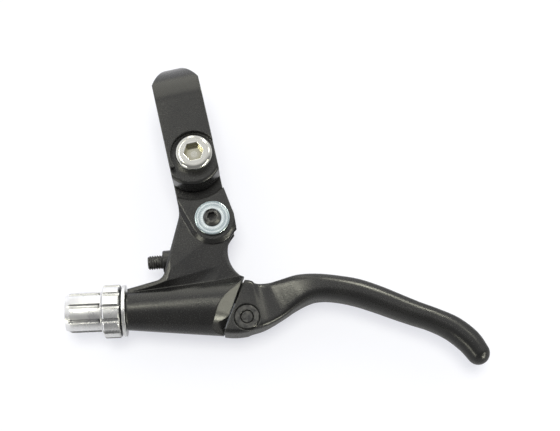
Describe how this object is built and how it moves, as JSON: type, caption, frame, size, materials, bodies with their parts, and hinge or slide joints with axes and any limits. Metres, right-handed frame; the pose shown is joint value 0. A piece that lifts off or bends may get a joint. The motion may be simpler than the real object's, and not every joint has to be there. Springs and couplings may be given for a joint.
{
  "type": "bicycle brake lever",
  "caption": "Bicycle hand brake lever: split bar clamp with a webbed perch and hood, cable barrel adjuster with lock ring, reach screw, and a short curved blade on a pivot.",
  "frame": {"origin": "centre of the handlebar clamp's bore", "axes": "+X along the handlebar towards the lever's free end, -Y from the bar towards the lever, +Z towards the side with the clamp bolt's head"},
  "size_m": [0.1154, 0.1046, 0.0303],
  "materials": {
    "black_alloy": "satin black coated cast and forged alloy",
    "chrome": "bright chrome plating",
    "polished_alloy": "bright turned alloy",
    "zinc_steel": "bluish white zinc plating",
    "black_steel": "black oxide steel",
    "nylon": "dull black bearing plastic"
  },
  "bodies": {
    "perch": {"perch_body": "black_alloy", "clamp_bolt": "chrome", "pivot_sleeve": "zinc_steel", "pivot_screw": "black_steel", "pivot_washer": "zinc_steel", "pivot_nut": "black_steel"},
    "lever": {"lever_blade": "black_alloy", "upper_bush": "nylon", "lower_bush": "nylon", "anchor_spacer": "zinc_steel", "anchor_screw": "black_steel", "anchor_nut": "black_steel"},
    "anchor_link": {"cable_anchor": "zinc_steel"},
    "reach_adjuster": {"reach_screw": "black_steel"},
    "barrel": {"barrel_adjuster": "polished_alloy"},
    "ring": {"lock_ring": "polished_alloy"}
  },
  "joints": [
    {"name": "lever_pivot", "type": "hinge", "parent": "perch", "child": "lever", "pos_m": [0.0019, -0.0342, 0], "axis": [0, 0, 1], "range_deg": [0, 32]},
    {"name": "anchor_swivel", "type": "hinge", "parent": "lever", "child": "anchor_link", "pos_m": [0.00541, -0.06359, 0], "axis": [0, 0, 1], "range_deg": [-14, 0]},
    {"name": "barrel_travel", "type": "slide", "parent": "perch", "child": "barrel", "axis": [-0.9836, 0.1805, 0], "range_m": [0, 0.006]},
    {"name": "ring_turn", "type": "hinge", "parent": "perch", "child": "ring", "pos_m": [-0.0275, -0.0533, 0], "axis": [-0.9836, 0.1805, 0], "continuous": true},
    {"name": "reach_turn", "type": "hinge", "parent": "perch", "child": "reach_adjuster", "pos_m": [-0.00285, -0.0433, 0], "axis": [-0.9898, 0.1426, 0], "continuous": true}
  ]
}
